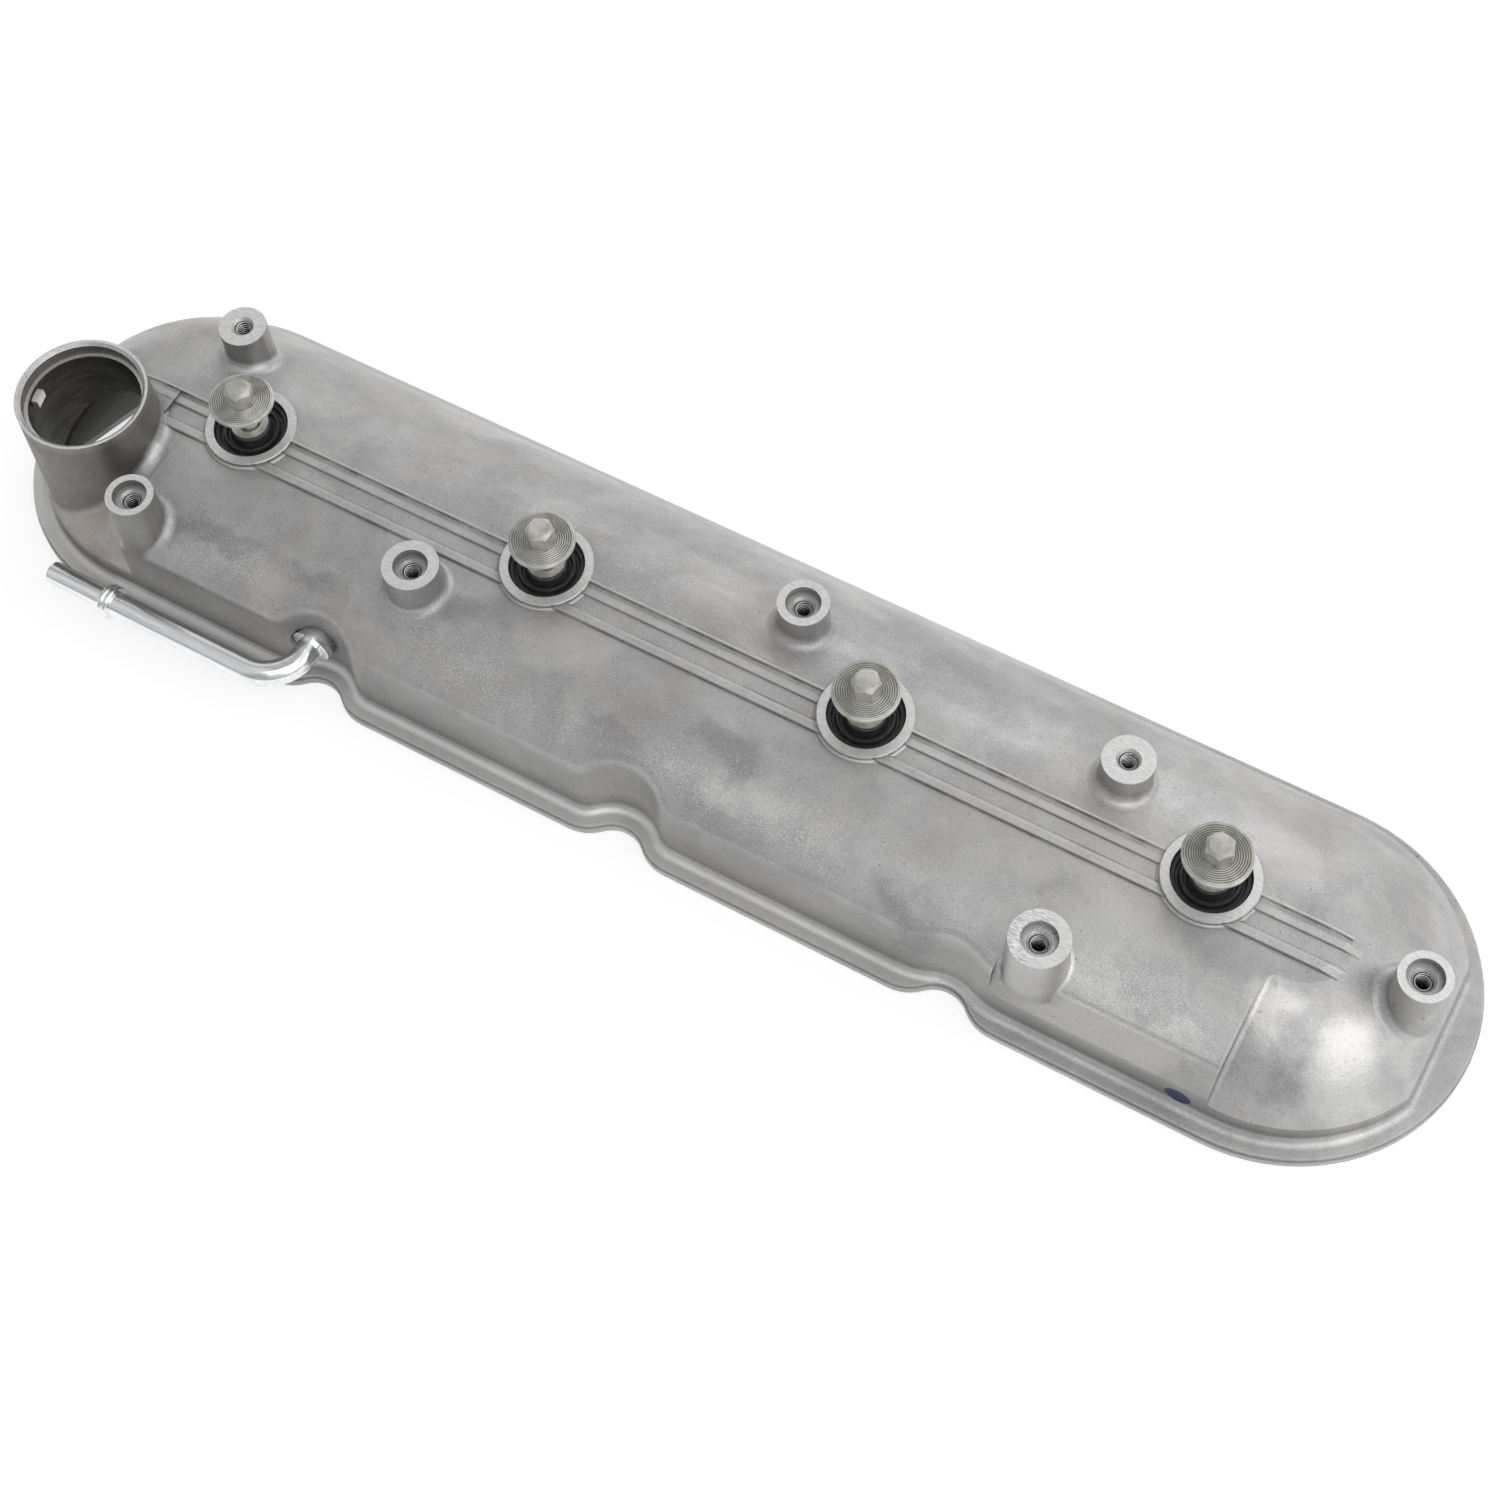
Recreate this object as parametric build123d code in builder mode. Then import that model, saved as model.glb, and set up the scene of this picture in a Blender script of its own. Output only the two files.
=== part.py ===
"""Cast valve cover for one bank of a centre-bolted V8, with its captive bolts.

Units are millimetres. The bolt line runs along X, the crown faces +Z and the exhaust side is -Y.
The origin is on the plane that the gasket rests on, under the middle of the bolt line.
"""
import os
from math import atan2, cos, inf, radians, sin, sqrt, tan

from build123d import *

os.makedirs("parts", exist_ok=True)

# Driving dimensions of the plan
bolt_pitch = 111.76
bolt_count = 4
end_centre_x = 196.0
flange_half_width = 59.0
lip_width = 6.0
rim_step = 0.6
rim_lower = 2.2
wall_draft_deg = 1.5

# Scallops that clear the plugs and the manifold bolts on the exhaust side
scallop_half_width = 17.0
scallop_depth = 7.0
scallop_hollow_radius = 10.0
last_scallop_wall_depth = 3.5

# Heights above the resting plane
gasket_proud = 0.8
flange_thickness = 4.2
ring_top = 42.8
far_crown_height = 42.5
near_crown_height = 40.4
boss_top = 52.8
neck_top = 57.8

# Crown section
wall = 3.4
crown_radius_far = 55.9
crown_flat_half = 3.5
crown_radius_near = 42.0
near_flat_edge = -24.0
near_panel_left = -186.0
near_panel_right = 193.5
dome_flat_x = 244.0
near_crown_round = 5.0
far_crown_round = 6.0
side_panel_left = 124.0
side_panel_foot = 14.5
side_panel_lean = 6.0
side_panel_round = 4.0
dome_flat_round = 6.0
crease_round = 2.0
lip_round = 3.0
lip_base_height = 9.0

# Shallow steps along the bolt line
step_edge = 1.3
step_run = 1.6
strip_width = 2.6
channel_width = 5.0
strip_one_height = 41.6
channel_height = 40.85
strip_two_height = 41.35
step_slope = 0.45
step_round = 0.35

# Bolt rings, grommets, sleeves and bolts
ring_radius = 15.0
ring_chamfer = 0.3
ring_flare_width = 0.9
ring_flare_height = 0.9
ring_bore_radius = 12.0
ring_ledge_height = 30.0
ring_ledge_thickness = 3.0
ring_ledge_bore_radius = 8.4
ring_post_radius = 14.6
grommet_clearance = 0.1
grommet_top = 41.2
grommet_hub_radius = 7.0
grommet_groove_depth = 1.3
grommet_bottom = 25.0
grommet_bead_radius = 9.3
sleeve_top = 44.4
sleeve_bottom = 24.0
sleeve_radius = 5.2
sleeve_bore_radius = 3.5
sleeve_collar_radius = 6.0
sleeve_collar_thickness = 1.4
sleeve_clearance = 0.15
bolt_thread_radius = 3.0
bolt_thread_length = 20.0
bolt_waist_radius = 2.7
bolt_tip_clearance = 0.3
bolt_flange_radius = 10.35
bolt_flange_thickness = 1.8
bolt_flange_top = 57.3
bolt_hex_across = 8.0
bolt_hex_height = 5.8
bolt_hex_chamfer = 1.3
bolt_hex_face_radius = 3.2
bolt_pilot_radius = 2.3
bolt_pilot_length = 3.0
bolt_turns = (57.0, 25.0, 19.0, 48.0)
ridge_count = 7
ridge_height = 0.35
ridge_margin = 0.2

# Ignition coil bracket bosses: x, y, top radius, counterbored or plain, column length, foot round
bosses = [
    (-186.5, 26.3, 7.8, False, 22.0, 3.0),
    (-180.4, -44.4, 7.7, True, 41.0, 3.0),
    (-88.4, -24.8, 8.95, True, 18.0, 3.0),
    (24.0, 19.8, 8.1, True, 18.0, 3.0),
    (132.4, 17.5, 8.05, False, 18.0, 3.0),
    (134.6, -45.2, 9.1, True, 26.0, 1.5),
    (232.5, -5.2, 7.85, True, 32.0, 3.0),
]
boss_draft_deg = 0.5
wall_boss = 5
wall_boss_foot_top = 38.8
wall_boss_foot_height = 20.0
wall_boss_foot_radius = 5.0
wall_boss_foot_y = -45.6
boss_core_radius = 6.6
boss_core_depth = 22.5
boss_hole_radius = 2.55
boss_hole_depth = 18.0
boss_drill_point = 1.5
boss_mouth_radius = 3.7
counterbore_radius = 5.5
counterbore_depth = 2.6

# Oil fill neck
neck_x = -213.8
neck_y = -22.5
neck_top_radius = 21.3
neck_draft_deg = 1.6
neck_foot_round = 4.0
neck_dome_right = -176.0
neck_mouth_radius = 20.4
neck_mouth_depth = 0.8
neck_seat_radius = 19.4
neck_seat_depth = 4.5
neck_bore_radius = 18.2
lug_width = 5.0
lug_reach = 2.0
lug_thickness = 3.0
lug_depth = 9.0
lug_turn_deg = 195.0

# Ledge inside the end wall, seen through the neck: two points of its straight edge
drip_ledge_edge = [(-242.4, -30.0), (-216.8, 49.0)]
drip_ledge_bottom = 1.8
drip_ledge_top = 4.0

# Crankcase vent tube
tube_height = 17.4
tube_y = -65.6
tube_radius = 4.25
tube_nose_radius = 3.9
tube_nose_round = 1.0
tube_wall = 0.9
tube_port_x = -117.0
tube_end_x = -207.3
tube_bead_x = -183.4
tube_bead_radius = 5.7
tube_bead_width = 3.6
tube_bead_dip = 0.5
tube_bend_radius = 13.0
tube_collar_radius = 6.6
tube_collar_thickness = 1.6
tube_inner_end_y = -41.5
tube_fit = 0.05
port_face_y = -47.5
port_pad_radius = 7.0
port_pad_length = 8.0

# Gasket
gasket_width = 4.0
gasket_inset = 1.6
gasket_groove_depth = 3.0
gasket_side_clearance = 0.1

# Splash baffle that closes the chamber inside the vent port
baffle_thickness = 1.2
baffle_left = -148.0
baffle_right = -76.0
baffle_near = -41.0
baffle_far = 9.0
baffle_height = 8.0
baffle_wall_height = 8.0
baffle_corner = 6.0
baffle_post_inset = 7.0
baffle_post_radius = 4.6
baffle_screw_radius = 2.0
baffle_screw_length = 9.0
baffle_screw_head_radius = 3.7
baffle_screw_head_height = 2.2
baffle_screw_fit = 0.05

# Values that follow from the driving ones
bolt_seat = bolt_flange_top - bolt_flange_thickness
post_bottom = ring_ledge_height - ring_ledge_thickness
baffle_post_x = (baffle_left + baffle_post_inset, baffle_right - baffle_post_inset)
baffle_post_y = (baffle_near + baffle_post_inset, baffle_far - baffle_post_inset)
baffle_post_places = [(x, y) for y in baffle_post_y for x in baffle_post_x]
baffle_top = baffle_height + baffle_thickness
flange_bottom = gasket_proud
flange_top = flange_bottom + flange_thickness
bolt_line_x = [bolt_pitch * (i - (bolt_count - 1) / 2) for i in range(bolt_count)]
scallop_x = [(bolt_line_x[i] + bolt_line_x[i + 1]) / 2 for i in range(bolt_count - 1)]
tall = neck_top + 20.0
wide = flange_half_width + 20.0
below = -5.0


UP = (Align.CENTER, Align.CENTER, Align.MIN)
DOWN = (Align.CENTER, Align.CENTER, Align.MAX)


def edges_within(form, x=(-inf, inf), y=(-inf, inf), z=(-inf, inf), length=(0.3, inf), rise=inf):
    """Edges whose middle and length lie in the given ranges and that rise no further than given."""
    found = []
    for edge in form.part.edges():
        middle = edge.center()
        values = (middle.X, middle.Y, middle.Z, edge.length)
        inside = all(low <= value <= high for value, (low, high) in zip(values, (x, y, z, length)))
        if inside and edge.bounding_box().size.Z < rise:
            found.append(edge)
    return found


def scallop_outline(inset, depth):
    """Bay between the flange edge and the outside, moved inward by inset, at the origin."""
    hollow = scallop_hollow_radius + inset
    edge = -flange_half_width + inset
    floor = edge + depth
    swing = 2 * atan2(depth, scallop_half_width)
    shoulder = scallop_half_width / sin(swing) - hollow
    meet_x = hollow * sin(swing)
    meet_y = floor - hollow * (1 - cos(swing))
    half = swing / 2
    hollow_mid_x = hollow * sin(half)
    hollow_mid_y = floor - hollow * (1 - cos(half))
    shoulder_mid_x = scallop_half_width - shoulder * sin(half)
    shoulder_mid_y = edge + shoulder * (1 - cos(half))
    with BuildSketch() as bay:
        with BuildLine():
            ThreePointArc((0, floor), (hollow_mid_x, hollow_mid_y), (meet_x, meet_y))
            ThreePointArc((meet_x, meet_y), (shoulder_mid_x, shoulder_mid_y), (scallop_half_width, edge))
            Line((scallop_half_width, edge), (scallop_half_width, -wide))
            Line((scallop_half_width, -wide), (0, -wide))
            Line((0, -wide), (0, floor))
        make_face()
        mirror(about=Plane.YZ)
    return bay.sketch


def plan_outline(inset, last_depth=scallop_depth, flat_end=False):
    """Round-ended outline with its scallops, moved inward from the flange edge by inset."""
    depths = [scallop_depth] * (len(scallop_x) - 1) + [last_depth]
    with BuildSketch() as outline:
        SlotCenterToCenter(2 * end_centre_x, 2 * (flange_half_width - inset))
        for x, depth in zip(scallop_x, depths):
            with Locations((x, 0)):
                add(scallop_outline(inset, depth), mode=Mode.SUBTRACT)
        if flat_end:
            with Locations((dome_flat_x + lip_width - inset, 0)):
                Rectangle(wide, 2 * wide, align=(Align.MIN, Align.CENTER), mode=Mode.SUBTRACT)
    return outline.sketch


def arch_profile(drop):
    """Half profile of the domed crown, out from the middle and up, lowered by drop."""
    radius = crown_radius_far - drop
    centre_height = far_crown_height - crown_radius_far
    reach = radius - 1.0
    foot = (crown_flat_half + reach, centre_height + sqrt(radius**2 - reach**2))
    turn = atan2(reach, sqrt(radius**2 - reach**2)) / 2
    middle = (crown_flat_half + radius * sin(turn), centre_height + radius * cos(turn))
    top = (crown_flat_half, centre_height + radius)
    with BuildSketch() as profile:
        with BuildLine():
            Line((0, below), (0, top[1]))
            Line((0, top[1]), top)
            ThreePointArc(top, middle, foot)
            Line(foot, (foot[0], below))
            Line((foot[0], below), (0, below))
        make_face()
    return profile.sketch


def near_profile(drop):
    """Profile of the fuller exhaust side, lowered by drop."""
    radius = crown_radius_near - drop
    centre_height = near_crown_height - crown_radius_near
    reach = flange_half_width + near_flat_edge
    foot = (-flange_half_width, centre_height + sqrt(radius**2 - reach**2))
    turn = atan2(reach, sqrt(radius**2 - reach**2)) / 2
    middle = (near_flat_edge - radius * sin(turn), centre_height + radius * cos(turn))
    top = (near_flat_edge, centre_height + radius)
    with BuildSketch() as profile:
        with BuildLine():
            Line((0, below), (0, top[1]))
            Line((0, top[1]), top)
            ThreePointArc(top, middle, foot)
            Line(foot, (-flange_half_width, below))
            Line((-flange_half_width, below), (0, below))
        make_face()
    return profile.sketch


def crown(drop):
    """Everything under the crown surface, with that surface lowered by drop."""
    arch = arch_profile(drop)
    side = near_profile(drop)
    with BuildPart() as cap:
        with BuildSketch(Plane.XZ):
            add(arch)
        revolve(axis=Axis.Z)
    with BuildPart() as form:
        with BuildSketch(Plane.YZ):
            add(arch)
            mirror(about=Plane.YZ)
        extrude(amount=end_centre_x, both=True)
        with Locations((-end_centre_x, 0, 0), (end_centre_x, 0, 0)):
            add(cap.part)
        with BuildSketch(Plane.YZ.offset(near_panel_left + drop)):
            add(side)
        extrude(amount=near_panel_right - near_panel_left - 2 * drop)
    return form.part


def steps(drop):
    """Room above the shallow steps that run beside the bolt line, lowered by drop."""
    strip_one_far = step_edge - step_run
    strip_one_near = strip_one_far - strip_width
    channel_near = strip_one_near - channel_width
    strip_two_far = channel_near - 2 * step_slope
    strip_two_near = strip_two_far - strip_width
    with BuildPart() as room:
        with BuildSketch(Plane.YZ.offset(-end_centre_x)):
            with BuildLine():
                Polyline(
                    (step_edge, far_crown_height - drop),
                    (strip_one_far, strip_one_height - drop),
                    (strip_one_near, strip_one_height - drop),
                    (strip_one_near - step_slope, channel_height - drop),
                    (channel_near, channel_height - drop),
                    (strip_two_far, strip_two_height - drop),
                    (strip_two_near, strip_two_height - drop),
                    (strip_two_near - step_slope, near_crown_height - drop),
                    (-wide, near_crown_height - drop),
                    (-wide, tall),
                    (step_edge, tall),
                    close=True,
                )
            make_face()
        extrude(amount=2 * end_centre_x + flange_half_width)
    return room.part


def side_lean(inset):
    """Room outside the leaning side panel at the exhaust side, moved inward by inset."""
    face = -flange_half_width + lip_width + inset
    lean = side_panel_lean / (near_crown_height - side_panel_foot)
    with BuildPart() as room:
        with BuildSketch(Plane.YZ.offset(side_panel_left + inset)):
            with BuildLine():
                Polyline(
                    (face, side_panel_foot),
                    (face + lean * (tall - side_panel_foot), tall),
                    (-wide, tall),
                    (-wide, side_panel_foot),
                    close=True,
                )
            make_face()
        extrude(amount=near_panel_right - side_panel_left)
    return room.part


def shell_form(drop, last_depth):
    """Closed form of the casting above the lip, with all its faces moved inward by drop."""
    top = crown(drop)
    outline = plan_outline(lip_width + drop, last_depth, flat_end=True)
    with BuildPart() as form:
        with BuildSketch(Plane.XY.offset(below)):
            add(outline)
        extrude(amount=tall, taper=wall_draft_deg)
        add(top, mode=Mode.INTERSECT)
        add(steps(drop), mode=Mode.SUBTRACT)
        add(side_lean(drop), mode=Mode.SUBTRACT)
    return form.part


def wall_block(inset, last_depth, height, flat_end=False):
    """Drafted block inside the wall's outline."""
    with BuildPart() as block:
        with BuildSketch(Plane.XY.offset(below)):
            add(plan_outline(inset, last_depth, flat_end))
        extrude(amount=height - below, taper=wall_draft_deg)
    return block.part


def rounded_shell():
    """Outside of the casting above the lip, with its edges rounded."""
    with BuildPart() as shell:
        add(shell_form(0, last_scallop_wall_depth))
        crease = (near_panel_right - 0.1, near_panel_right + 0.1)
        fillet(edges_within(shell, x=crease, y=(-wide, -20), length=(44, 45)), crease_round)
        crown_edge = (near_panel_left - 0.1, side_panel_left - 2)
        fillet(edges_within(shell, x=crown_edge, y=(-wide, -44), z=(29, tall), rise=6), near_crown_round)
        panel = (side_panel_left + 1, near_panel_right - 0.5)
        fillet(edges_within(shell, x=panel, y=(-wide, -44), z=(15, tall), length=(60, inf)), side_panel_round)
        fillet(edges_within(shell, z=(13.4, 13.6), length=(100, inf)), far_crown_round)
        fillet(edges_within(shell, x=(240, inf), z=(3, tall)), dome_flat_round)
        fillet(edges_within(shell, y=(-13, 2), z=(30, tall), length=(370, inf)), step_round)
    return shell.part


def lip_base():
    """Lip with the foot of the wall, joined by a hollow round."""
    with BuildPart() as base:
        add(wall_block(lip_width, last_scallop_wall_depth, lip_base_height, flat_end=True))
        fillet(edges_within(base, x=(dome_flat_x - 1, inf), length=(5, 30)), dome_flat_round)
        with BuildSketch(Plane.XY.offset(flange_bottom)):
            add(plan_outline(0))
        extrude(amount=flange_thickness)
        foot = [edge for edge in base.edges(Select.NEW) if abs(edge.center().Z - flange_top) < 0.1]
        fillet(foot, lip_round)
        with BuildSketch(Plane.XY.offset(flange_bottom + rim_lower)):
            add(plan_outline(-rim_step))
            add(plan_outline(rim_step), mode=Mode.SUBTRACT)
        extrude(amount=flange_thickness, mode=Mode.SUBTRACT)
        with BuildSketch(Plane.XY.offset(flange_bottom)):
            Rectangle(3 * end_centre_x, 2 * wide)
        extrude(amount=-tall, mode=Mode.SUBTRACT)
    return base.part


def boss_radius(radius, height):
    """Radius of a drafted boss column at the given height."""
    return radius + (boss_top - height) * tan(radians(boss_draft_deg))


def neck_form(shell):
    """Oil fill neck with its round foot on the end dome of the shell."""
    length = neck_top - flange_top
    foot_radius = neck_top_radius + length * tan(radians(neck_draft_deg))
    with BuildPart() as form:
        add(shell)
        with Locations((-end_centre_x, 0, near_crown_height)):
            Box(4 * wide, 4 * wide, tall, align=UP, mode=Mode.SUBTRACT)
        with Locations((neck_dome_right, 0, 0)):
            beyond = (Align.MIN, Align.CENTER, Align.CENTER)
            Box(4 * end_centre_x, 4 * wide, 4 * tall, align=beyond, mode=Mode.SUBTRACT)
        with Locations((neck_x, neck_y, flange_top)):
            Cone(foot_radius, neck_top_radius, length, align=UP)
        fillet(form.edges(Select.NEW), neck_foot_round)
    return form.part


def ring_form():
    """Raised ring round a bolt, with a flare that meets the crown."""
    flare_top = near_crown_height + ring_flare_height
    flare_radius = ring_radius + ring_flare_width
    with BuildPart() as ring:
        with BuildSketch(Plane.XZ):
            with BuildLine():
                Line((0, near_crown_height - wall), (0, ring_top))
                Line((0, ring_top), (ring_radius - ring_chamfer, ring_top))
                Line((ring_radius - ring_chamfer, ring_top), (ring_radius, ring_top - ring_chamfer))
                Line((ring_radius, ring_top - ring_chamfer), (ring_radius, flare_top))
                RadiusArc((ring_radius, flare_top), (flare_radius, near_crown_height), ring_flare_width * 1.2)
                Line((flare_radius, near_crown_height), (flare_radius, near_crown_height - wall))
                Line((flare_radius, near_crown_height - wall), (0, near_crown_height - wall))
            make_face()
        revolve(axis=Axis.Z)
    return ring.part


shell = rounded_shell()
inner_form = shell_form(wall, scallop_depth)

# Cover casting: crown, lip, neck, bosses and bolt rings are one piece
with BuildPart() as cover_casting:
    add(shell)
    for boss_x, boss_y, radius, bored, length, foot_round in bosses:
        with Locations((boss_x, boss_y, boss_top - length)):
            Cone(boss_radius(radius, boss_top - length), radius, length, align=UP)
        fillet(cover_casting.edges(Select.NEW), foot_round)
    with BuildSketch(Plane.XY.offset(wall_boss_foot_top)):
        with Locations(bosses[wall_boss][:2]):
            Circle(boss_radius(bosses[wall_boss][2], wall_boss_foot_top))
    with BuildSketch(Plane.XY.offset(wall_boss_foot_height)):
        with Locations((bosses[wall_boss][0], wall_boss_foot_y)):
            Circle(wall_boss_foot_radius)
    loft()
    add(neck_form(shell))
    with Locations(*[(x, 0, 0) for x in bolt_line_x]):
        add(ring_form())
    add(lip_base())
    with BuildSketch(Plane.XY.offset(flange_bottom)):
        Rectangle(3 * end_centre_x, 2 * wide)
    extrude(amount=-tall, mode=Mode.SUBTRACT)
    with Locations(Location((tube_port_x, port_face_y, tube_height), (90, 0, 0))):
        Cylinder(port_pad_radius, port_pad_length, align=DOWN)
        Cylinder(port_pad_radius, port_pad_length, align=UP, mode=Mode.SUBTRACT)

    add(inner_form, mode=Mode.SUBTRACT)
    with BuildSketch(Plane.XY.offset(drip_ledge_bottom)):
        with BuildLine():
            beyond = [(-2 * end_centre_x, y) for x, y in reversed(drip_ledge_edge)]
            Polyline(*drip_ledge_edge, *beyond, close=True)
        make_face()
        add(plan_outline(lip_width + wall / 2), mode=Mode.INTERSECT)
    extrude(amount=drip_ledge_top - drip_ledge_bottom)

    with Locations(*[(x, 0, post_bottom) for x in bolt_line_x]):
        Cylinder(ring_post_radius, near_crown_height - post_bottom, align=UP)
    with Locations(*[(boss[0], boss[1], boss_top - boss_core_depth) for boss in bosses]):
        Cylinder(boss_core_radius, boss_core_depth - counterbore_radius, align=UP)
    for post_x, post_y in baffle_post_places:
        post_top = (near_crown_height + far_crown_height - wall) / 2
        if post_y < near_flat_edge:
            crown_middle = crown_radius_near - 0.6 * wall
            slope_rise = sqrt(crown_middle**2 - (near_flat_edge - post_y) ** 2)
            post_top = near_crown_height - crown_radius_near + slope_rise
        with Locations((post_x, post_y, baffle_top)):
            Cylinder(baffle_post_radius, post_top - baffle_top, align=UP)

    with Locations(*[(x, 0, ring_top) for x in bolt_line_x]):
        Cylinder(ring_bore_radius, ring_top - ring_ledge_height, align=DOWN, mode=Mode.SUBTRACT)
        Cylinder(ring_ledge_bore_radius, ring_top, align=DOWN, mode=Mode.SUBTRACT)
    for boss_x, boss_y, radius, bored, length, foot_round in bosses:
        with Locations((boss_x, boss_y, boss_top)):
            Cylinder(boss_hole_radius, boss_hole_depth, align=DOWN, mode=Mode.SUBTRACT)
        with Locations((boss_x, boss_y, boss_top - boss_hole_depth)):
            Cone(0, boss_hole_radius, boss_drill_point, align=DOWN, mode=Mode.SUBTRACT)
        mouth_top = boss_top - counterbore_depth if bored else boss_top
        mouth_depth = boss_mouth_radius - boss_hole_radius
        with Locations((boss_x, boss_y, mouth_top)):
            Cone(boss_hole_radius, boss_mouth_radius, mouth_depth, align=DOWN, mode=Mode.SUBTRACT)
        if bored:
            with Locations((boss_x, boss_y, boss_top)):
                Cylinder(counterbore_radius, counterbore_depth, align=DOWN, mode=Mode.SUBTRACT)

    with Locations((neck_x, neck_y, neck_top)):
        Cylinder(neck_bore_radius, neck_top, align=DOWN, mode=Mode.SUBTRACT)
        Cylinder(neck_seat_radius, neck_seat_depth, align=DOWN, mode=Mode.SUBTRACT)
        Cone(neck_seat_radius, neck_mouth_radius, neck_mouth_depth, align=DOWN, mode=Mode.SUBTRACT)
    lug_middle = neck_bore_radius - lug_reach / 2
    with Locations((neck_x, neck_y, neck_top - lug_depth)):
        with PolarLocations(lug_middle, 1, start_angle=lug_turn_deg):
            Box(lug_reach + 1.0, lug_width, lug_thickness, align=UP)

    with BuildSketch(Plane.XY.offset(flange_bottom)):
        add(plan_outline(gasket_inset))
        add(plan_outline(gasket_inset + gasket_width), mode=Mode.SUBTRACT)
    extrude(amount=gasket_groove_depth, mode=Mode.SUBTRACT)
    with Locations(Location((tube_port_x, port_face_y, tube_height), (90, 0, 0))):
        Cylinder(tube_radius + tube_fit, 2 * port_pad_length, align=DOWN, mode=Mode.SUBTRACT)
    with Locations(*[(x, y, baffle_top) for x, y in baffle_post_places]):
        Cylinder(baffle_screw_radius + baffle_screw_fit, baffle_screw_length, align=UP, mode=Mode.SUBTRACT)

# Gasket pressed into the groove of the lip
with BuildPart() as cover_gasket:
    with BuildSketch():
        add(plan_outline(gasket_inset + gasket_side_clearance))
        add(plan_outline(gasket_inset + gasket_width - gasket_side_clearance), mode=Mode.SUBTRACT)
    extrude(amount=gasket_proud + gasket_groove_depth)

# Vent tube: open nose with a double bead for the hose, one bend, collar at the port
bend_x = tube_port_x - tube_bend_radius
bend_y = tube_y + tube_bend_radius
tube_bore = tube_radius - tube_wall
with BuildPart() as vent_tube:
    with BuildSketch(Plane(origin=(0, tube_y, tube_height), x_dir=(1, 0, 0), z_dir=(0, -1, 0))):
        with BuildLine():
            nose_start = (tube_end_x, tube_nose_radius - tube_nose_round)
            nose_end = (tube_end_x + tube_nose_round, tube_nose_radius)
            bead_left = (tube_bead_x - tube_bead_width / 2, tube_nose_radius)
            bead_right = (tube_bead_x + tube_bead_width / 2, tube_radius)
            valley = (tube_bead_x, tube_bead_radius - tube_bead_dip)
            shoulder_left = (bead_left[0], valley[1])
            shoulder_right = (bead_right[0], valley[1])
            ridge_left = (tube_bead_x - tube_bead_width / 4, tube_bead_radius)
            ridge_right = (tube_bead_x + tube_bead_width / 4, tube_bead_radius)
            CenterArc((nose_end[0], nose_start[1]), tube_nose_round, 90, 90)
            Line(nose_end, bead_left)
            Line(bead_left, shoulder_left)
            ThreePointArc(shoulder_left, ridge_left, valley)
            ThreePointArc(valley, ridge_right, shoulder_right)
            Line(shoulder_right, bead_right)
            Line(bead_right, (bend_x, tube_radius))
            Line((bend_x, tube_radius), (bend_x, tube_bore))
            Line((bend_x, tube_bore), (nose_end[0], tube_bore))
            Line((nose_end[0], tube_bore), nose_start)
        make_face()
    revolve(axis=Axis((0, tube_y, tube_height), (1, 0, 0)))
    with BuildSketch(Plane.YZ.offset(bend_x)):
        with Locations((tube_y, tube_height)):
            Circle(tube_radius)
            Circle(tube_bore, mode=Mode.SUBTRACT)
    revolve(axis=Axis((bend_x, bend_y, 0), (0, 0, 1)), revolution_arc=90)
    with BuildSketch(Plane.XZ.offset(-tube_inner_end_y)):
        with Locations((tube_port_x, tube_height)):
            Circle(tube_radius)
            Circle(tube_bore, mode=Mode.SUBTRACT)
    extrude(amount=tube_inner_end_y - bend_y)
    with BuildSketch(Plane.XZ.offset(-port_face_y)):
        with Locations((tube_port_x, tube_height)):
            Circle(tube_collar_radius)
            Circle(tube_radius, mode=Mode.SUBTRACT)
    extrude(amount=tube_collar_thickness)

# Baffle tray under the vent chamber
with BuildPart() as vent_baffle:
    with BuildSketch(Plane.XY.offset(baffle_height)):
        with Locations(((baffle_left + baffle_right) / 2, (baffle_near + baffle_far) / 2)):
            RectangleRounded(baffle_right - baffle_left, baffle_far - baffle_near, baffle_corner)
    extrude(amount=baffle_wall_height)
    offset(
        amount=-baffle_thickness,
        openings=vent_baffle.faces().sort_by(Axis.Z)[-1:],
        mode=Mode.REPLACE,
    )
    with Locations(*[(x, y, baffle_height) for x, y in baffle_post_places]):
        Cylinder(baffle_screw_radius + 0.3, baffle_thickness, align=UP, mode=Mode.SUBTRACT)


def baffle_screw(x, y):
    """Pan head screw driven up into a post of the casting."""
    with BuildPart() as screw:
        with Locations((x, y, baffle_height)):
            Cylinder(baffle_screw_head_radius, baffle_screw_head_height, align=DOWN)
            Cylinder(baffle_screw_radius, baffle_screw_length, align=UP)
        with Locations((x, y, baffle_height - baffle_screw_head_height)):
            Box(1.0, 2 * baffle_screw_radius, 1.4, align=UP, mode=Mode.SUBTRACT)
            Box(2 * baffle_screw_radius, 1.0, 1.4, align=UP, mode=Mode.SUBTRACT)
    return screw.part


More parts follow.
